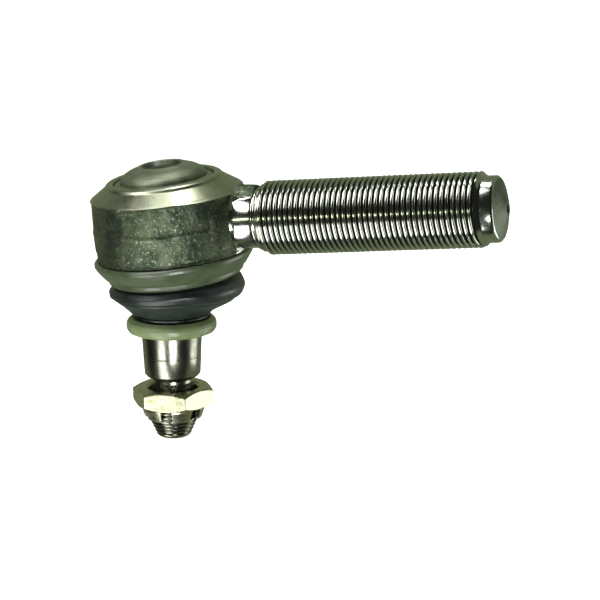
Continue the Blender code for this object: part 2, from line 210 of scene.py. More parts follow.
def rounded(points, closed=False, steps=4):
    """The profile with its corners rounded: a point is (radius, height) or (radius, height, fillet)."""
    count = len(points)
    result = []
    for i, point in enumerate(points):
        corner = Vector(point[:2])
        inner = closed or 0 < i < count - 1
        if len(point) < 3 or not inner:
            result.append(corner)
            continue
        before = Vector(points[i - 1][:2]) - corner
        after = Vector(points[(i + 1) % count][:2]) - corner
        reach = point[2] / math.tan(before.angle(after) / 2)
        start = corner + before.normalized() * min(reach, 0.48 * before.length)
        end = corner + after.normalized() * min(reach, 0.48 * after.length)
        for k in range(steps + 1):
            t = k / steps
            result.append(start * (1 - t) ** 2 + corner * 2 * t * (1 - t) + end * t * t)
    return [tuple(p) for p in result]


def fine(profile, step):
    """The profile with points added, so that none of its stretches is longer than the step."""
    result = [profile[0]]
    for a, b in zip(profile, profile[1:]):
        count = max(1, math.ceil(math.dist(a, b) / step))
        for k in range(1, count + 1):
            t = k / count
            result.append((a[0] + (b[0] - a[0]) * t, a[1] + (b[1] - a[1]) * t))
    return result


def finish_mesh(bm, name, place=None):
    """A new object with the mesh, moved to its place and shaded smooth up to sharp edges."""
    bmesh.ops.remove_doubles(bm, verts=bm.verts, dist=0.0005 * MM)
    bmesh.ops.dissolve_degenerate(bm, edges=bm.edges, dist=0.0005 * MM)
    mesh = bpy.data.meshes.new(name)
    bm.to_mesh(mesh)
    bm.free()
    if place:
        mesh.transform(place)
    obj = bpy.data.objects.new(name, mesh)
    bpy.context.scene.collection.objects.link(obj)
    return obj


def shade(obj, angle=32.0):
    obj.data.shade_smooth()
    obj.data.set_sharp_from_angle(angle=math.radians(angle))


def skin(bm, columns, shift=0):
    """Faces between neighbouring columns of points; the last column meets the first one, whose
    points are taken that many rows further on."""
    rows = len(columns[0])
    for k, column in enumerate(columns):
        wraps = k == len(columns) - 1
        other = columns[(k + 1) % len(columns)]
        step = shift if wraps else 0
        for j in range(rows - 1 - step):
            corners = [column[j], column[j + 1], other[j + 1 + step], other[j + step]]
            corners = list(dict.fromkeys(corners))
            if len(corners) > 2:
                bm.faces.new(corners)


def lathe(name, profile, closed=False, segments=SEGMENTS, shape=None, place=None):
    """A turned piece about Z. The profile is in mm and runs from the top down the outer side; a
    closed one goes on up the inner side. shape(radius, height, angle) gives a point's own radius."""
    bm = bmesh.new()
    points = profile + profile[:1] if closed else profile
    poles = {}
    columns = []
    for k in range(segments):
        angle = 2 * math.pi * k / segments
        column = []
        for j, (radius, height) in enumerate(points):
            if closed and j == len(points) - 1:
                column.append(column[0])
                continue
            if radius < 0.001:
                if j not in poles:
                    poles[j] = bm.verts.new((0.0, 0.0, height * MM))
                column.append(poles[j])
                continue
            own = shape(radius, height, angle) if shape else radius
            at = (own * MM * math.cos(angle), own * MM * math.sin(angle), height * MM)
            column.append(bm.verts.new(at))
        columns.append(column)
    skin(bm, columns)
    return finish_mesh(bm, name, place)


def between(points, height):
    """Radius of an outline, given as (height, radius) points that rise, at one height."""
    for (h0, r0), (h1, r1) in zip(points, points[1:]):
        if height <= h1:
            return r0 + (r1 - r0) * max(0.0, height - h0) / (h1 - h0)
    return points[-1][1]


def threaded_bar(name, outline, low, high, radius, pitch, place, run_in):
    """A bar about Z with a real right-hand thread between two heights. The outline gives the
    bar's radius as (height, radius) points that rise. The thread follows it at the low end,
    getting deeper over the run-in, and is trimmed by it at the high end."""
    bm = bmesh.new()
    turn_rows = len(THREAD_FORM)
    rows = turn_rows * (math.ceil((high - low) / pitch) + 1)
    depth = THREAD_DEPTH * pitch
    columns = []
    for k in range(THREAD_SEGMENTS):
        angle = 2 * math.pi * k / THREAD_SEGMENTS
        column = []
        for j in range(rows + 1):
            part, height = THREAD_FORM[j % turn_rows]
            turns = j // turn_rows - 1 + part + angle / (2 * math.pi)
            z = min(high, max(low, low + turns * pitch))
            bar_r = between(outline, z)
            r = min(bar_r, radius - depth * (1 - height))
            if z < (low + high) / 2:
                r = min(bar_r, radius) - depth * (1 - height) * min(1.0, (z - low) / run_in)
            column.append((r, z))
        before = [(r, z) for z, r in outline if z < low]
        after = [(r, z) for z, r in outline if z > high]
        points = before + column + after
        columns.append([
            bm.verts.new((r * MM * math.cos(angle), r * MM * math.sin(angle), z * MM)) for r, z in points
        ])
    first = len([z for z, r in outline if z < low])
    last = first + rows
    ends = ([c[: first + 1] for c in columns], [c[last:] for c in columns])
    skin(bm, [c[first : last + 1] for c in columns], turn_rows)
    for end in ends:
        if len(end[0]) > 1:
            skin(bm, end)
    bmesh.ops.remove_doubles(bm, verts=bm.verts, dist=0.0005 * MM)
    bmesh.ops.holes_fill(bm, edges=[e for e in bm.edges if e.is_boundary], sides=0)
    bmesh.ops.recalc_face_normals(bm, faces=bm.faces)
    return finish_mesh(bm, name, place)


def cut(obj, tool, operation="DIFFERENCE"):
    """Applies a Boolean of two closed meshes and removes the tool."""
    boolean = obj.modifiers.new("cut", "BOOLEAN")
    boolean.operation = operation
    boolean.solver = "MANIFOLD"
    boolean.object = tool
    bpy.context.view_layer.update()
    depsgraph = bpy.context.evaluated_depsgraph_get()
    mesh = bpy.data.meshes.new_from_object(obj.evaluated_get(depsgraph))
    obj.modifiers.clear()
    obj.data = mesh
    bpy.data.objects.remove(tool, do_unlink=True)


def soft_min(values, blend):
    """Smallest of the values, with the corner between them rounded over the blend."""
    least = min(values)
    return least - blend * math.log(sum(math.exp((least - v) / blend) for v in values))


# ---------------------------------------------------------------- materials

class Surface:
    """A Principled material whose colour, roughness and bump come from procedural patterns."""

    def __init__(self, name, **constants):
        self.mat = bpy.data.materials.new(name)
        self.mat.use_nodes = True
        self.tree = self.mat.node_tree
        self.shader = self.tree.nodes["Principled BSDF"]
        for socket, value in constants.items():
            self.shader.inputs[socket.replace("_", " ")].default_value = value
        self.coords = self.add("ShaderNodeTexCoord").outputs["Object"]
        self.height = None

    def add(self, kind, **settings):
        node = self.tree.nodes.new(kind)
        for key, value in settings.items():
            setattr(node, key, value)
        return node

    def link(self, source, target):
        self.tree.links.new(source, target)

    def speckle(self, size, detail=3.0, harsh=0.55):
        """Noise with grains of that size, in mm."""
        node = self.add("ShaderNodeTexNoise")
        self.link(self.coords, node.inputs["Vector"])
        node.inputs["Scale"].default_value = 1.0 / (size * MM)
        node.inputs["Detail"].default_value = detail
        node.inputs["Roughness"].default_value = harsh
        return node.outputs["Fac"]

    def pits(self, size):
        """Distance from scattered points, for pits that far apart, in mm."""
        node = self.add("ShaderNodeTexVoronoi")
        self.link(self.coords, node.inputs["Vector"])
        node.inputs["Scale"].default_value = 1.0 / (size * MM)
        return node.outputs["Distance"]

    def rings(self, axis, size, detail=2.0):
        """Turning marks: noise that changes only along the axis, or with the radius if it is None."""
        place = self.add("ShaderNodeVectorMath", operation="DOT_PRODUCT" if axis else "MULTIPLY")
        self.link(self.coords, place.inputs[0])
        place.inputs[1].default_value = axis or (1.0, 1.0, 0.0)
        if not axis:
            flat = place
            place = self.add("ShaderNodeVectorMath", operation="LENGTH")
            self.link(flat.outputs[0], place.inputs[0])
        node = self.add("ShaderNodeTexNoise", noise_dimensions="1D")
        self.link(place.outputs[1], node.inputs["W"])
        node.inputs["Scale"].default_value = 1.0 / (size * MM)
        node.inputs["Detail"].default_value = detail
        return node.outputs["Fac"]

    def ranged(self, source, low, high, to_low=0.0, to_high=1.0):
        node = self.add("ShaderNodeMapRange", interpolation_type="SMOOTHSTEP")
        self.link(source, node.inputs["Value"])
        node.inputs["From Min"].default_value = low
        node.inputs["From Max"].default_value = high
        node.inputs["To Min"].default_value = to_low
        node.inputs["To Max"].default_value = to_high
        return node.outputs["Result"]

    def mixed(self, factor, a, b):
        """Colour that goes from a to b; each is a colour or the output of another mix."""
        node = self.add("ShaderNodeMix", data_type="RGBA")
        self.link(factor, node.inputs["Factor"])
        for index, value in ((6, a), (7, b)):
            if isinstance(value, tuple):
                node.inputs[index].default_value = (*value, 1.0)
            else:
                self.link(value, node.inputs[index])
        return node.outputs[2]

    def colour(self, source):
        self.link(source, self.shader.inputs["Base Color"])

    def roughness(self, source):
        self.link(source, self.shader.inputs["Roughness"])

    def relief(self, source, depth):
        """Adds bump from the pattern, that many mm deep."""
        node = self.add("ShaderNodeBump")
        node.inputs["Distance"].default_value = depth * MM
        self.link(source, node.inputs["Height"])
        if self.height:
            self.link(self.height, node.inputs["Normal"])
        self.height = node.outputs["Normal"]
        self.link(self.height, self.shader.inputs["Normal"])


def forged_steel():
    """Dark oiled forging scale: mottled, pitted, with brighter grains where it is rubbed."""
    s = Surface("forged_scale", Metallic=0.85, Specular_IOR_Level=0.5)
    grain = s.speckle(0.9, 5.0, 0.65)
    patch = s.speckle(7.0, 3.0)
    dark = s.mixed(s.ranged(patch, 0.35, 0.65), (0.030, 0.042, 0.027), (0.078, 0.098, 0.060))
    s.colour(s.mixed(s.ranged(grain, 0.54, 0.74), dark, (0.28, 0.32, 0.20)))
    s.roughness(s.ranged(grain, 0.35, 0.7, 0.55, 0.28))
    s.relief(s.pits(1.3), 0.10)
    s.relief(grain, 0.22)
    s.relief(s.speckle(0.28, 2.0), 0.05)
    return s.mat


def turned_cone():
    """Satin faced steel of the eye's cone and rolled lip, with a thin oil stain."""
    s = Surface("faced_steel", Metallic=0.95)
    stain = s.speckle(6.0, 4.0, 0.6)
    marks = s.rings((0.0, 0.0, 1.0), 0.12)
    base = s.mixed(s.ranged(stain, 0.38, 0.62), (0.20, 0.22, 0.155), (0.26, 0.28, 0.195))
    s.colour(s.mixed(s.ranged(marks, 0.35, 0.7), base, (0.31, 0.33, 0.24)))
    s.roughness(s.ranged(stain, 0.3, 0.7, 0.27, 0.33))
    s.relief(marks, 0.012)
    s.relief(s.speckle(0.6, 3.0), 0.03)
    return s.mat


def bright_steel(name, axis, tint, stain, smooth, rough):
    """Bright turned steel with fine marks round the axis and a faint oil film; its roughness
    goes from smooth to rough."""
    s = Surface(name, Metallic=1.0)
    film = s.speckle(5.0, 4.0, 0.6)
    marks = s.rings(axis, 0.10)
    base = s.mixed(s.ranged(film, 0.35, 0.7), tint, stain)
    darker = tuple(0.72 * c for c in tint)
    s.colour(s.mixed(s.ranged(marks, 0.55, 0.8), base, darker))
    s.roughness(s.ranged(film, 0.3, 0.7, smooth, rough))
    s.relief(marks, 0.002)
    s.relief(s.speckle(0.5, 2.0), 0.002)
    return s.mat


def cut_end_steel():
    """Dull sawn and faced end of the shank."""
    s = Surface("cut_end", Metallic=0.9)
    grain = s.speckle(0.8, 4.0, 0.6)
    s.colour(s.mixed(s.ranged(grain, 0.4, 0.65), (0.060, 0.075, 0.052), (0.115, 0.135, 0.095)))
    s.roughness(s.ranged(grain, 0.3, 0.7, 0.42, 0.62))
    s.relief(grain, 0.06)
    return s.mat


def pressed_steel(name, dark, light):
    """Satin pressed sheet of the cap: drawing marks, small dents and a film of oil."""
    s = Surface(name, Metallic=0.9, Coat_Weight=0.12, Coat_Roughness=0.15)
    stain = s.speckle(4.0, 4.0, 0.6)
    marks = s.rings(None, 0.35)
    base = s.mixed(s.ranged(stain, 0.38, 0.64), dark, light)
    s.colour(s.mixed(s.ranged(marks, 0.5, 0.8), base, tuple(1.15 * c for c in light)))
    s.roughness(s.ranged(stain, 0.3, 0.7, 0.46, 0.58))
    s.relief(s.speckle(1.6, 3.0), 0.09)
    s.relief(marks, 0.012)
    return s.mat


def plain_steel(name, dark, light, rough):
    """Oiled steel of the small hidden pieces, the spring and the boot's wire."""
    s = Surface(name, Metallic=0.95)
    film = s.speckle(1.5, 4.0, 0.6)
    s.colour(s.mixed(s.ranged(film, 0.35, 0.65), dark, light))
    s.roughness(s.ranged(film, 0.3, 0.7, rough, rough + 0.15))
    s.relief(s.speckle(0.3, 2.0), 0.01)
    return s.mat


def yellow_zinc():
    """Yellow passivated zinc: uneven tint, fine grain, rubbed brighter in spots."""
    s = Surface("yellow_zinc_plate", Metallic=1.0)
    tint = s.speckle(3.0, 4.0, 0.6)
    grain = s.speckle(0.5, 4.0, 0.7)
    base = s.mixed(s.ranged(tint, 0.35, 0.65), (0.36, 0.36, 0.22), (0.48, 0.48, 0.35))
    s.colour(s.mixed(s.ranged(grain, 0.55, 0.75), base, (0.60, 0.60, 0.50)))
    s.roughness(s.ranged(tint, 0.3, 0.7, 0.24, 0.36))
    s.relief(grain, 0.035)
    return s.mat


def moulded_plastic(name, dark, light, rough, through, grain_mm=0.5):
    """Satin moulded plastic that lets a little light in."""
    s = Surface(name, Subsurface_Weight=through, Subsurface_Scale=2.0 * MM, Coat_Weight=0.15)
    s.shader.inputs["Subsurface Radius"].default_value = (1.0, 1.0, 0.6)
    cloud = s.speckle(9.0, 3.0)
    s.colour(s.mixed(s.ranged(cloud, 0.35, 0.65), dark, light))
    s.roughness(s.ranged(cloud, 0.3, 0.7, rough, rough + 0.12))
    s.relief(s.speckle(grain_mm, 3.0), 0.015)
    return s.mat


def boot_rubber():
    """Blue-black rubber with a waxy bloom and a fine moulded grain."""
    s = Surface("boot_rubber_skin", Specular_IOR_Level=0.55)
    bloom = s.speckle(5.0, 5.0, 0.65)
    s.colour(s.mixed(s.ranged(bloom, 0.4, 0.72), (0.006, 0.011, 0.010), (0.016, 0.024, 0.022)))
    s.roughness(s.ranged(bloom, 0.3, 0.7, 0.34, 0.50))
    s.relief(s.speckle(2.2, 3.0), 0.05)
    s.relief(s.speckle(0.25, 2.0), 0.012)
    return s.mat


# ---------------------------------------------------------------- pieces

def barrel_r(height):
    """Radius of the eye's forged side, which is slightly barrelled."""
    middle = (EYE_TOP_Z + EYE_BOTTOM_Z) / 2
    t = (height - middle) / (EYE_TOP_Z - middle)
    chord = (EYE_TOP_R + EYE_BOTTOM_R) / 2 + (EYE_TOP_R - EYE_BOTTOM_R) / 2 * t
    return chord + (EYE_R - (EYE_TOP_R + EYE_BOTTOM_R) / 2) * (1 - t * t)


def forged_shape(radius, height, angle):
    """The forged side: its shoulder towards the shank, broad waves, and two parting lines."""
    if radius < EYE_TOP_R - 0.15:
        return radius
    off = SHOULDER_X * math.sin(angle)
    shoulder_r = SHOULDER_X * math.cos(angle) + math.sqrt(SHOULDER_R ** 2 - off ** 2)
    radius = max(radius, shoulder_r)
    if not EYE_BOTTOM_Z + 0.4 < height < EYE_TOP_Z - 0.3:
        return radius
    at = Vector((radius * math.cos(angle), radius * math.sin(angle), height))
    waves = 0.13 * noise.noise(at / 7.0) + 0.05 * noise.noise(at / 1.7)
    line_z = 0.4 + 0.35 * noise.noise(at / 11.0)
    ridge = 0.26 * math.exp(-((height - line_z) / 0.45) ** 2)
    step = 0.22 if height > line_z else 0.0
    lower_z = -7.4 + 0.5 * noise.noise(at / 9.0)
    lower_step = 0.18 / (1 + math.exp((height - lower_z) / 0.2))
    return radius - 0.12 + waves + ridge - step - lower_step


def shank_outline():
    """(x, radius) points of the shank, from inside the eye to the end of the thread."""
    return [
        (23.2, 17.0),
        (24.4, 17.0),
        (25.3, 16.2),
        (26.3, 14.0),
        (27.2, 12.2),
        (28.2, 11.3),
        (29.1, 10.95),
        (30.0, 10.83),
        (31.0, RELIEF_R),
        (THREAD_FROM_X - 0.7, RELIEF_R),
        (THREAD_FROM_X - 0.3, RELIEF_R + 0.08),
        (THREAD_FROM_X, 11.2),
        (THREAD_FULL_X, THREAD_R),
        (THREAD_CHAMFER_X, THREAD_R),
        (THREAD_TO_X, 12.12),
        (PILOT_FROM_X, PILOT_R + 0.03),
        (PILOT_FROM_X + 0.3, PILOT_R),
        (SHANK_END_X - 1.0, PILOT_R),
        (SHANK_END_X - 0.7, PILOT_R - 0.1),
        (SHANK_END_X - 0.12, PILOT_R - 0.75),
        (SHANK_END_X, PILOT_R - 1.0),
        (SHANK_END_X + 1.3, 6.8),
        (END_NUB_X - 0.15, 2.9),
        (END_NUB_X, 2.6),
        (END_NUB_X, 1.9),
        (END_NUB_X - 0.3, 1.6),
        (END_NUB_X - 2.3, 0.2),
    ]


def make_housing(mats):
    """The forging in one mesh: eye, neck and shank, joined and then faced on its cone."""
    side = [(barrel_r(z), z) for z in (8.0, 4.5, 1.0, -2.5, -6.0, -9.0)]
    eye = [
        (LIP_R, LIP_Z - 0.5, 0.25),
        (LIP_R + 0.5, LIP_Z, 0.3),
        (20.6, LIP_Z, 0.5),
        (21.4, LIP_Z - 0.5, 0.4),
        (CONE_TOP_R, CONE_TOP_Z, 0.5),
        (EYE_TOP_R, EYE_TOP_Z, 0.25),
        *side,
        (EYE_BOTTOM_R, EYE_BOTTOM_Z, 0.4),
        (SPIGOT_R, EYE_BOTTOM_Z, 0.2),
        (SPIGOT_R, SPIGOT_Z, 0.4),
        (18.2, SPIGOT_Z, 0.4),
        (SEAT_MOUTH_R, SEAT_FLOOR_Z),
        (BORE_R, SEAT_FLOOR_Z),
        (BORE_R, CAP_FLANGE_TOP_Z + 0.3),
        (LIP_R, CAP_FLANGE_TOP_Z + 0.3, 0.2),
    ]
    profile = fine(rounded(eye, closed=True), 0.55)
    housing = lathe("forged_housing", profile, closed=True, segments=320, shape=forged_shape)
    shank = threaded_bar(
        "shank_bar",
        shank_outline(),
        THREAD_FROM_X,
        THREAD_TO_X,
        THREAD_R,
        THREAD_PITCH,
        place=ALONG_SHANK,
        run_in=SHANK_RUN_IN,
    )
    cut(housing, shank, "UNION")
    cut(housing, make_neck_rib(), "UNION")
    above = CONE_TOP_Z + 6.0
    inner_r = CONE_TOP_R + 0.6
    cone = [
        (BEAK_R, above),
        (BEAK_R, cone_z(BEAK_R) + 0.01),
        (inner_r, cone_z(inner_r) + 0.01),
        (inner_r, above),
    ]
    cut(housing, lathe("cone_cutter", cone, closed=True))
    facing = [(40.0, EYE_BOTTOM_Z), (40.0, -25.0), (SPIGOT_R, -25.0), (SPIGOT_R, EYE_BOTTOM_Z)]
    cut(housing, lathe("facing_cutter", facing, closed=True))
    fillet_neck(housing)
    paint_housing(housing, mats)
    shade(housing)
    return housing


def make_neck_rib():
    """The forged rib left along the top of the neck, as far as the thread."""
    points = [
        (0.0, RIB_END_X),
        (6.7, RIB_END_X, 0.5),
        (7.0, 31.0, 3.0),
        (7.6, 29.0, 1.0),
        (8.8, 26.5, 1.0),
        (9.2, 22.0),
        (0.0, 22.0),
    ]
    profile = fine(rounded(points), 0.6)
    place = Matrix.Translation((0.0, 0.0, RIB_Z * MM)) @ ALONG_SHANK

    def rough(radius, height, angle):
        at = Vector((radius * math.cos(angle), radius * math.sin(angle), height))
        return radius + 0.16 * noise.noise(at / 3.5)

    return lathe("neck_rib", profile, segments=96, shape=rough, place=place)


def cone_z(radius):
    """Height of the eye's faced cone."""
    return CONE_TOP_Z - CONE_SLOPE * (radius - CONE_TOP_R)


def fillet_neck(housing):
    """Smooths the forged corner where the shank's root leaves the eye."""
    bm = bmesh.new()
    bm.from_mesh(housing.data)
    corner = []
    for vert in bm.verts:
        x, y, z = vert.co / MM
        off_axis = math.hypot(y, z)
        below_cone = z < cone_z(math.hypot(x, y)) - 0.4
        if 21.5 < x < 27.4 and 11.4 < off_axis < 18.5 and below_cone and z > EYE_BOTTOM_Z + 0.3:
            corner.append(vert)
    for _ in range(14):
        bmesh.ops.smooth_vert(
            bm, verts=corner, factor=0.5, use_axis_x=True, use_axis_y=True, use_axis_z=True
        )
    bm.to_mesh(housing.data)
    bm.free()


def paint_housing(housing, mats):
    """Forged scale, but for the faced cone, the turned neck, the thread, painted shade in its
    grooves, and the cut end."""
    housing.data.materials.clear()
    for key in ("forged", "faced", "bright", "end", "groove"):
        housing.data.materials.append(mats[key])
    for face in housing.data.polygons:
        x, y, z = face.center / MM
        radius = math.hypot(x, y)
        off_axis = math.hypot(y, z)
        on_cone = CONE_TOP_R - 0.3 < radius < BEAK_R + 0.3 and abs(z - cone_z(radius)) < 0.12
        on_rib = x < RIB_END_X + 0.05 and z > RIB_Z and off_axis > RELIEF_R + 0.15
        if x > SHANK_END_X - 0.05 or (x > 100 and off_axis < 2.4):
            face.material_index = 3
        elif on_rib and x > BRIGHT_FROM_X:
            face.material_index = 0
        # Faces deep in the thread's roots get near-black steel: painted shade between the crests.
        elif THREAD_FULL_X < x < THREAD_CHAMFER_X and off_axis < ROOT_SHADE_R:
            face.material_index = 4
        elif x > BRIGHT_FROM_X + 3.0 * max(0.0, (z - 6.0) / 5.0) and off_axis < 14.0:
            face.material_index = 2
        elif on_cone or (radius < CONE_TOP_R + 0.2 and z > 0) or radius < 25.0:
            face.material_index = 1
        else:
            face.material_index = 0


def make_end_cap(mats):
    """Pressed cap: flange under the rolled lip, dome, and a dished middle."""
    foot = CAP_DOME_FOOT_Z
    rise = CAP_TOP_Z - foot
    dome = []
    for k in range(22):
        r = DIMPLE_RIM_R + (CAP_DOME_R - 0.02 - DIMPLE_RIM_R) * math.sin(math.pi / 2 * k / 21)
        dome.append((r, foot + rise * math.sqrt(1.0 - (r / CAP_DOME_R) ** CAP_DOME_POWER)))
    dimple = [
        (0.0, CAP_TOP_Z - 2.2),
        (3.5, CAP_TOP_Z - 2.15, 1.0),
        (5.6, CAP_TOP_Z - 1.8, 1.0),
        (7.6, CAP_TOP_Z - 0.2, 1.2),
        (8.6, dome[0][1] + 0.75, 0.8),
    ]
    outer = rounded([*dimple, dome[0]]) + dome[1:]
    outer += [
        (CAP_DOME_R + 0.3, foot + 0.1),
        (18.0, foot - 0.05),
        (18.3, foot - 0.3),
        (18.35, CAP_FLANGE_TOP_Z),
        (CAP_FLANGE_R, CAP_FLANGE_TOP_Z),
    ]
    under = [
        (CAP_FLANGE_R, CAP_FLANGE_LOW_Z),
        (14.6, CAP_FLANGE_LOW_Z),
        (13.4, CAP_TOP_Z - 5.0),
        (10.5, CAP_TOP_Z - 3.0),
        (4.0, CAP_TOP_Z - 3.6),
        (0.0, CAP_TOP_Z - 3.6),
    ]
    profile = outer + under
    cap = lathe("pressed_end_cap", profile)
    cap.data.materials.append(mats["cap"])
    # The dimple's middle gets a darker copy of the cap's steel: painted shade.
    cap.data.materials.append(mats["dimple_shade"])
    for face in cap.data.polygons:
        x, y, z = face.center / MM
        face.material_index = int(math.hypot(x, y) < DIMPLE_SHADE_R and z > CAP_TOP_Z - 2.5)
    shade(cap, 45.0)
    return cap


def make_collar(mats):
    """Olive ring that holds the boot's bead: rolled upper edge, sloping side, low rib."""
    top, low = COLLAR_TOP_Z, COLLAR_LOW_Z
    points = [
        (24.7, top),
        (COLLAR_R - 0.7, top, 0.5),
        (COLLAR_R, top - 0.7, 0.5),
        (COLLAR_R - 0.05, top - 1.8, 0.6),
        (28.6, top - 3.4, 1.2),
        (26.6, top - 6.1, 1.0),
        (25.3, top - 6.9, 0.5),
        (25.2, low + 0.9, 0.5),
        (24.3, low, 0.4),
        (22.6, low, 0.3),
        (22.6, low + 0.9),
        (24.7, low + 0.9),
    ]
    collar = lathe("olive_boot_collar", fine(rounded(points, closed=True), 0.8), closed=True)
    collar.data.materials.append(mats["collar"])
    shade(collar, 50.0)
    return collar


def lean_by(point, weight):
    """Where a point goes when it follows the stud's lean by the given weight."""
    quarter = LEAN.to_quaternion()
    axis, angle = quarter.to_axis_angle()
    return Matrix.Rotation(angle * weight, 3, axis) @ Vector(point)


def make_boot(mats):
    """Rubber bellows between the collar and the seal ring. It is pressed together on the side
    that the stud leans to, and its fold sags on the other side."""
    top = SPIGOT_Z - 0.3
    points = [
        (24.2, top),
        (24.2, COLLAR_LOW_Z + 1.2),
        (22.2, COLLAR_LOW_Z + 1.2),
        (22.2, COLLAR_LOW_Z - 0.3, 0.3),
        (24.0, -21.5, 0.8),
        (25.3, -23.3, 1.4),
        (24.6, -25.6, 1.0),
        (23.0, -26.5, 0.5),
        (22.6, -27.3, 0.5),
        (20.2, -29.2, 1.2),
        (18.0, -31.0, 1.2),
        (16.4, -32.3, 0.8),
        (15.6, -33.1, 0.4),
        (15.2, -33.55, 0.3),
        (13.8, -33.7, 0.3),
        (13.7, -35.1, 0.1),
        (14.5, -35.2),
        (12.1, -35.2),
        (12.1, -33.0, 0.8),
        (13.6, -31.4, 0.8),
        (15.8, -29.4, 0.8),
        (18.2, -27.4, 0.8),
        (20.8, -25.2, 0.8),
        (22.4, -23.2, 0.8),
        (21.4, -21.6, 0.8),
        (19.8, -20.2, 0.8),
        (19.4, top),
    ]

    def uneven(radius, height, angle):
        free = min(1.0, max(0.0, (COLLAR_LOW_Z - 0.8 - height) / 2.0))
        free *= min(1.0, max(0.0, (height - BOOT_CARRIED_Z) / 2.0))
        at = Vector((radius * math.cos(angle), radius * math.sin(angle), height))
        return radius + free * 0.22 * noise.noise(at / 6.0)

    boot = lathe("rubber_boot", fine(rounded(points, closed=True), 0.5), closed=True, shape=uneven)
    from_lean = Vector((STUD_UP.x, STUD_UP.y, 0.0)).normalized()
    for vertex in boot.data.vertices:
        height = vertex.co.z / MM
        t = min(1.0, max(0.0, (BOOT_HELD_Z - height) / (BOOT_HELD_Z - BOOT_CARRIED_Z)))
        away = vertex.co.normalized().dot(from_lean)
        vertex.co.z -= BOOT_SAG * MM * max(0.0, away) * math.sin(math.pi * t ** 0.75)
        vertex.co = lean_by(vertex.co, t * t * (3.0 - 2.0 * t))
    boot.data.materials.append(mats["rubber"])
    shade(boot, 60.0)
    return boot


def coiled_wire(name, turns, steps, sides, wire_r, coil_r, height, place=None):
    """Round wire wound about Z. coil_r and height give the start and the end of the coil's
    radius and height, between which both change evenly."""
    bm = bmesh.new()
    rings = []
    for k in range(steps + 1):
        t = k / steps
        angle = 2 * math.pi * turns * t
        out = Vector((math.cos(angle), math.sin(angle), 0.0))
        centre = out * (coil_r[0] + (coil_r[1] - coil_r[0]) * t)
        centre.z = height[0] + (height[1] - height[0]) * t
        ring = []
        for side in range(sides):
            a = 2 * math.pi * side / sides
            at = centre + wire_r * (out * math.cos(a) + Vector((0.0, 0.0, math.sin(a))))
            ring.append(bm.verts.new(at * MM))
        rings.append(ring)
    for a, b in zip(rings, rings[1:]):
        for side in range(sides):
            after = (side + 1) % sides
            bm.faces.new((a[side], b[side], b[after], a[after]))
    bm.faces.new(rings[0])
    bm.faces.new(rings[-1][::-1])
    bmesh.ops.recalc_face_normals(bm, faces=bm.faces)
    return finish_mesh(bm, name, place)


def make_wire_ring(mats):
    """Clamping wire of two turns in the groove of the boot's waist."""
    wire = coiled_wire(
        "boot_clamp_wire",
        turns=2,
        steps=240,
        sides=10,
        wire_r=WIRE_R,
        coil_r=(WIRE_RING_R, WIRE_RING_R),
        height=(WIRE_RING_Z + WIRE_R, WIRE_RING_Z - WIRE_R),
        place=LEAN,
    )
    wire.data.materials.append(mats["wire"])
    shade(wire, 60.0)
    return wire


def taper_r(height):
    """Radius of the stud's 1:10 cone."""
    return TAPER_LOW_R + TAPER_SLOPE * (height - TAPER_LOW_Z)


def make_seal_ring(mats):
    """Soft-edged plastic ring that seats the boot on the cone."""
    top, low = -35.6, -41.6
    inner = taper_r(top) + 0.3
    points = [
        (inner, top, 0.2),
        (14.9, top, 0.5),
        (16.4, top - 1.2, 1.0),
        (16.8, top - 2.4, 1.0),
        (16.75, low + 2.0, 1.0),
        (16.2, low + 0.8, 0.8),
        (14.6, low + 0.1, 0.6),
        (13.4, low, 0.3),
        (inner, low, 0.3),
    ]
    ring = lathe("plastic_seal_ring", fine(rounded(points, closed=True), 0.7), closed=True, place=LEAN)
    ring.data.materials.append(mats["seal"])
    shade(ring, 50.0)
    return ring


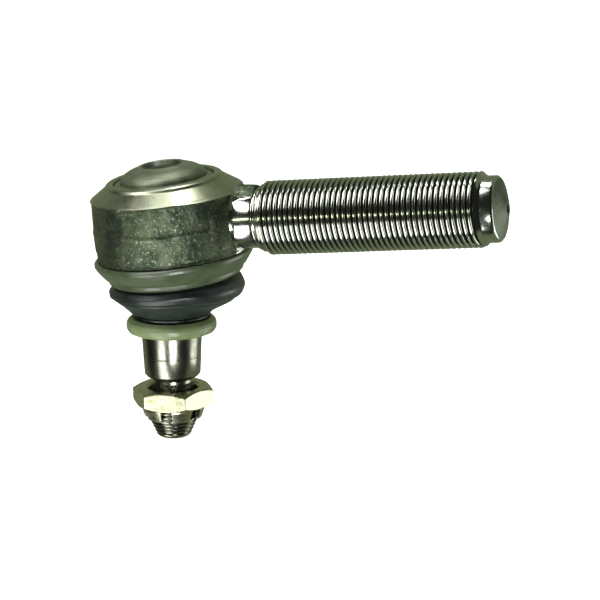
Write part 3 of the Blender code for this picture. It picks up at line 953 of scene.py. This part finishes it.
def make_ball_stud(mats):
    """Ball, neck, cone with its grooves, undercut and real thread, cross-drilled for a pin."""
    thread_high = STUD_THREAD_Z + 0.9
    groove_z = -50.3
    outline = [
        (STUD_END_Z, 0.0),
        (STUD_END_Z, 5.3),
        (STUD_END_Z + 0.2, 5.7),
        (STUD_END_Z + 1.0, 6.5),
        (STUD_END_Z + STUD_TAPER_L, STUD_THREAD_R),
        (STUD_THREAD_Z, STUD_THREAD_R),
        (thread_high, 7.6),
        (thread_high + 0.5, 7.45),
        (-61.6, 7.45),
        (-61.3, 7.95),
        (-60.7, 8.05),
        (-60.4, 7.6),
        (-59.4, 7.5),
        (-58.7, 7.9),
        (-58.4, 9.3),
        (-58.1, 9.75),
        (TAPER_LOW_Z, TAPER_LOW_R - 0.12),
        (TAPER_LOW_Z + 0.25, taper_r(TAPER_LOW_Z + 0.25)),
        (groove_z - 0.25, taper_r(groove_z)),
        (groove_z - 0.1, taper_r(groove_z) - 0.16),
        (groove_z + 0.1, taper_r(groove_z) - 0.16),
        (groove_z + 0.25, taper_r(groove_z)),
        (TAPER_TOP_Z - 0.2, taper_r(TAPER_TOP_Z)),
        (TAPER_TOP_Z + 2.0, taper_r(TAPER_TOP_Z) - 0.2),
        (-20.0, 9.0),
        (-16.0, NECK_R),
    ]
    neck = math.asin(NECK_R / BALL_R)
    top = math.acos(BALL_FLAT_Z / BALL_R)
    for k in range(31):
        angle = math.pi - neck + (top - math.pi + neck) * k / 30
        outline.append((BALL_R * math.cos(angle), BALL_R * math.sin(angle)))
    outline.append((BALL_FLAT_Z, 0.0))
    thread_low = STUD_END_Z + 0.6
    stud = threaded_bar(
        "tapered_ball_stud",
        outline,
        thread_low,
        thread_high,
        STUD_THREAD_R,
        STUD_PITCH,
        place=None,
        run_in=STUD_RUN_IN,
    )
    drill = [(0.0, 15.0), (COTTER_HOLE_R, 15.0), (COTTER_HOLE_R, -15.0), (0.0, -15.0)]
    lying = Matrix.Rotation(math.pi / 2, 4, "X")
    across = Matrix.Rotation(NUT_TURN + math.radians(60.0), 4, "Z") @ lying
    place = Matrix.Translation((0.0, 0.0, COTTER_HOLE_Z * MM)) @ across
    cut(stud, lathe("cotter_drill", drill, segments=48, place=place))
    stud.data.transform(LEAN)
    stud.data.materials.clear()
    stud.data.materials.append(mats["stud"])
    shade(stud)
    return stud


def make_castle_nut(mats):
    """Hexagon with turned corners, and a castle with six slots, one under each flat."""
    face_r = NUT_FLATS / 2 - 0.3
    bore_r = STUD_THREAD_R + 0.3
    sixth = math.radians(60.0)

    def hexagonal(radius, height, angle):
        if radius <= face_r + 0.01:
            return radius
        off = (angle - NUT_TURN) % sixth - sixth / 2
        facing = [math.cos(off + k * sixth) for k in (-1, 0, 1)]
        sides = [NUT_FLATS / 2 / cosine for cosine in facing if cosine > 0.2]
        upper = face_r + (NUT_TOP_Z - height) * math.sqrt(3.0)
        lower = face_r + (height - NUT_STEP_Z) * math.sqrt(3.0)
        return max(face_r, soft_min(sides + [upper, lower], 0.05))

    wide = 20.0
    side = [(wide, NUT_TOP_Z - 0.05 - k * (NUT_TOP_Z - NUT_STEP_Z - 0.1) / 46) for k in range(47)]
    profile = [(bore_r + 0.9, NUT_TOP_Z), (11.5, NUT_TOP_Z), (face_r, NUT_TOP_Z), *side]
    profile += rounded([
        (face_r, NUT_STEP_Z),
        (NUT_CASTLE_TOP_R + 0.25, NUT_STEP_Z),
        (NUT_CASTLE_TOP_R, NUT_STEP_Z - 0.3),
        (NUT_CASTLE_TOP_R, NUT_STEP_Z - 1.1, 0.6),
        (NUT_CASTLE_LOW_R + 0.25, NUT_LOW_Z + 0.5, 0.4),
        (NUT_CASTLE_LOW_R, NUT_LOW_Z, 0.15),
        (bore_r + 0.6, NUT_LOW_Z, 0.1),
        (bore_r, NUT_LOW_Z + 0.6),
        (bore_r, NUT_TOP_Z - 0.9),
    ])
    nut = lathe("zinc_castle_nut", profile, closed=True, segments=360, shape=hexagonal)
    for k in range(3):
        cut(nut, slot_cutter(NUT_TURN + sixth * k))
    nut.data.transform(LEAN)
    nut.data.materials.clear()
    nut.data.materials.append(mats["zinc"])
    shade(nut, 28.0)
    return nut


def slot_cutter(turn):
    """A bar with two rounded upper edges, across the nut under two opposite flats."""
    half, depth = NUT_SLOT / 2, 8.0
    bm = bmesh.new()
    bmesh.ops.create_cube(bm, size=1.0)
    bmesh.ops.scale(bm, vec=(NUT_SLOT * MM, 40.0 * MM, depth * MM), verts=bm.verts)
    upper = [
        e for e in bm.edges
        if all(v.co.z > 0 for v in e.verts) and abs(e.verts[0].co.y - e.verts[1].co.y) > MM
    ]
    bmesh.ops.bevel(bm, geom=upper, offset=0.35 * half * MM, segments=4, profile=0.5, affect="EDGES")
    place = Matrix.Translation((0.0, 0.0, (NUT_STEP_Z - 0.1 - depth / 2) * MM))
    return finish_mesh(bm, "slot_cutter", place @ Matrix.Rotation(turn, 4, "Z"))


def make_pieces():
    mats = {
        "forged": forged_steel(),
        "faced": turned_cone(),
        "bright": bright_steel(
            "thread_steel", (1.0, 0.0, 0.0), (0.42, 0.43, 0.39), (0.33, 0.35, 0.30), 0.12, 0.20
        ),
        # Near-black steel for the thread's roots: painted shade between the crests.
        "groove": plain_steel("thread_root_painted_shade", (0.018, 0.020, 0.016), (0.050, 0.056, 0.042), 0.36),
        "end": cut_end_steel(),
        "cap": pressed_steel("pressed_cap_steel", (0.125, 0.145, 0.098), (0.17, 0.195, 0.13)),
        # Darker copy of the cap steel for the dimple's middle: painted shade.
        "dimple_shade": pressed_steel("cap_dimple_painted_shade", (0.035, 0.044, 0.030), (0.060, 0.072, 0.048)),
        "collar": moulded_plastic(
            "collar_olive", (0.040, 0.056, 0.027), (0.060, 0.080, 0.040), 0.34, 0.04
        ),
        "seal": moulded_plastic("seal_olive", (0.135, 0.180, 0.078), (0.175, 0.225, 0.105), 0.40, 0.4),
        "rubber": boot_rubber(),
        "wire": plain_steel("clamp_wire_steel", (0.03, 0.035, 0.035), (0.07, 0.08, 0.075), 0.30),
        "stud": bright_steel(
            "stud_steel", tuple(STUD_UP), (0.26, 0.265, 0.225), (0.17, 0.175, 0.135), 0.19, 0.28
        ),
        "zinc": yellow_zinc(),
    }
    pieces = (
        (make_housing(mats), "housing", "forged_steel"),
        (make_end_cap(mats), "end_cap", "pressed_steel"),
        (make_collar(mats), "boot_collar", "olive_plastic"),
        (make_wire_ring(mats), "boot_lower_ring", "spring_steel"),
        (make_seal_ring(mats), "stud_seal_ring", "olive_plastic"),
        (make_ball_stud(mats), "ball_stud", "turned_steel"),
        (make_castle_nut(mats), "castle_nut", "yellow_zinc"),
    )
    for piece, node, slot in pieces:
        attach(piece, frame["nodes"][node]["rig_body"])
        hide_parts(node)
    boot = make_boot(mats)
    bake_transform(boot)
    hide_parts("boot")


def make_spring():
    """Conical coil between the spring plate and the cap, carried with the spring's body."""
    low, high = (corner.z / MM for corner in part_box("preload_spring"))
    coil = coiled_wire(
        "preload_coil",
        turns=SPRING_TURNS,
        steps=120,
        sides=14,
        wire_r=SPRING_WIRE_R,
        coil_r=(SPRING_LOW_R, SPRING_TOP_R),
        height=(low + SPRING_WIRE_R, high - SPRING_WIRE_R),
    )
    coil.data.materials.append(plain_steel("spring_wire", (0.10, 0.10, 0.09), (0.20, 0.20, 0.18), 0.25))
    shade(coil, 60.0)
    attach(coil, frame["nodes"]["preload_spring"]["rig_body"])
    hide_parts("preload_spring")
    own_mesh(coil)


def finish_hidden_nodes():
    """The pieces inside the joint stay as the frame has them, with materials of their own."""
    seat = moulded_plastic("acetal", (0.62, 0.61, 0.55), (0.70, 0.69, 0.64), 0.35, 0.3)
    washer = plain_steel("washer_steel", (0.24, 0.25, 0.22), (0.34, 0.35, 0.30), 0.28)
    finishes = {
        "upper_ball_seat": seat,
        "lower_ball_seat": seat,
        "spring_plate": washer,
        "cap_seal_ring": boot_rubber(),
    }
    for node, mat in finishes.items():
        mesh = frame["nodes"][node].data
        mesh.materials.clear()
        mesh.materials.append(mat)


# ---------------------------------------------------------------- stage

CAMERA_AZIMUTH = math.radians(24.37)
CAMERA_ELEVATION = math.radians(12.40)
CAMERA_DISTANCE = 0.881
CAMERA_AIM = Vector((0.0436, 0.0096, -0.0339))
CAMERA_ROLL = math.radians(-7.14)
CAMERA_LENS = 143.4


def make_camera():
    data = bpy.data.cameras.new("camera")
    data.lens = CAMERA_LENS
    data.sensor_width = 36.0
    data.clip_start = 0.05
    camera = bpy.data.objects.new("camera", data)
    bpy.context.scene.collection.objects.link(camera)
    level = math.cos(CAMERA_ELEVATION)
    right = math.sin(CAMERA_AZIMUTH) * level
    front = -math.cos(CAMERA_AZIMUTH) * level
    away = Vector((right, front, math.sin(CAMERA_ELEVATION)))
    camera.location = away * CAMERA_DISTANCE
    aim = (CAMERA_AIM - camera.location).to_track_quat("-Z", "Y").to_matrix().to_4x4()
    turn = aim @ Matrix.Rotation(CAMERA_ROLL, 4, "Z")
    camera.rotation_euler = turn.to_euler()
    bpy.context.scene.camera = camera


def make_floor():
    """Pale sweep: flat under the part, rising into a wall far away on every side."""
    low = cad_box[0].z / MM - 0.2
    profile = [(3000.0, low + 3000.0), (3000.0, low + 1300.0, 900.0), (2700.0, low, 1200.0), (0.0, low)]
    floor = lathe("floor", rounded(profile, steps=16), segments=96)
    floor.data.flip_normals()
    mat = bpy.data.materials.new("pale_floor")
    mat.use_nodes = True
    shader = mat.node_tree.nodes["Principled BSDF"]
    shader.inputs["Base Color"].default_value = (0.9, 0.9, 0.9, 1.0)
    shader.inputs["Roughness"].default_value = 0.9
    shader.inputs["Emission Color"].default_value = (1.0, 1.0, 1.0, 1.0)
    shader.inputs["Emission Strength"].default_value = 0.95
    floor.data.materials.append(mat)
    floor.data.shade_smooth()
    floor.visible_glossy = False
    floor.visible_diffuse = False
    floor.visible_shadow = False
    floor.visible_transmission = False


def softbox(name, place, aim, size, power, colour=(1.0, 1.0, 1.0)):
    """A rectangular light; place, aim and size are in mm."""
    data = bpy.data.lights.new(name, "AREA")
    data.shape = "RECTANGLE"
    data.size = size[0] * MM
    data.size_y = size[1] * MM
    data.energy = power
    data.color = colour
    light = bpy.data.objects.new(name, data)
    bpy.context.scene.collection.objects.link(light)
    light.location = Vector(place) * MM
    direction = (Vector(aim) - Vector(place)).normalized()
    light.rotation_euler = direction.to_track_quat("-Z", "Y").to_euler()


def make_lights():
    softbox("overhead", (-156, -190, 500), (60, 0, 0), (240, 540), 3.0)
    softbox("front_low", (-156, -420, -340), (60, 0, -10), (250, 480), 2.8)
    softbox("eye_top", (47, 130, 500), (0, 0, 10), (150, 110), 0.95)
    softbox("stud_front", (222, -500, -165), (0, 0, -45), (190, 150), 2.2)
    softbox("strip", (-140, -420, 82), (60, 0, 0), (300, 14), 0.28, (0.92, 1.0, 0.7))
    softbox("right_rim", (420, 210, -170), (0, 0, -60), (260, 280), 0.9)
    world = bpy.data.worlds.new("studio")
    bpy.context.scene.world = world
    world.use_nodes = True
    tree = world.node_tree
    coords = tree.nodes.new("ShaderNodeTexCoord")
    towards = tree.nodes.new("ShaderNodeVectorMath")
    towards.operation = "DOT_PRODUCT"
    towards.inputs[1].default_value = Vector((0.0, 0.95, -0.31)).normalized()
    tree.links.new(coords.outputs["Generated"], towards.inputs[0])
    ramp = tree.nodes.new("ShaderNodeValToRGB")
    ramp.color_ramp.interpolation = "EASE"
    ramp.color_ramp.elements[0].position = 0.02
    ramp.color_ramp.elements[0].color = (0.022, 0.025, 0.020, 1.0)
    ramp.color_ramp.elements[1].position = 0.20
    ramp.color_ramp.elements[1].color = (0.26, 0.31, 0.19, 1.0)
    tree.links.new(towards.outputs["Value"], ramp.inputs["Fac"])
    tree.links.new(ramp.outputs["Color"], tree.nodes["Background"].inputs["Color"])


make_camera()
make_pieces()
make_spring()
finish_hidden_nodes()
make_floor()
make_lights()
bpy.context.scene.view_settings.view_transform = "Standard"
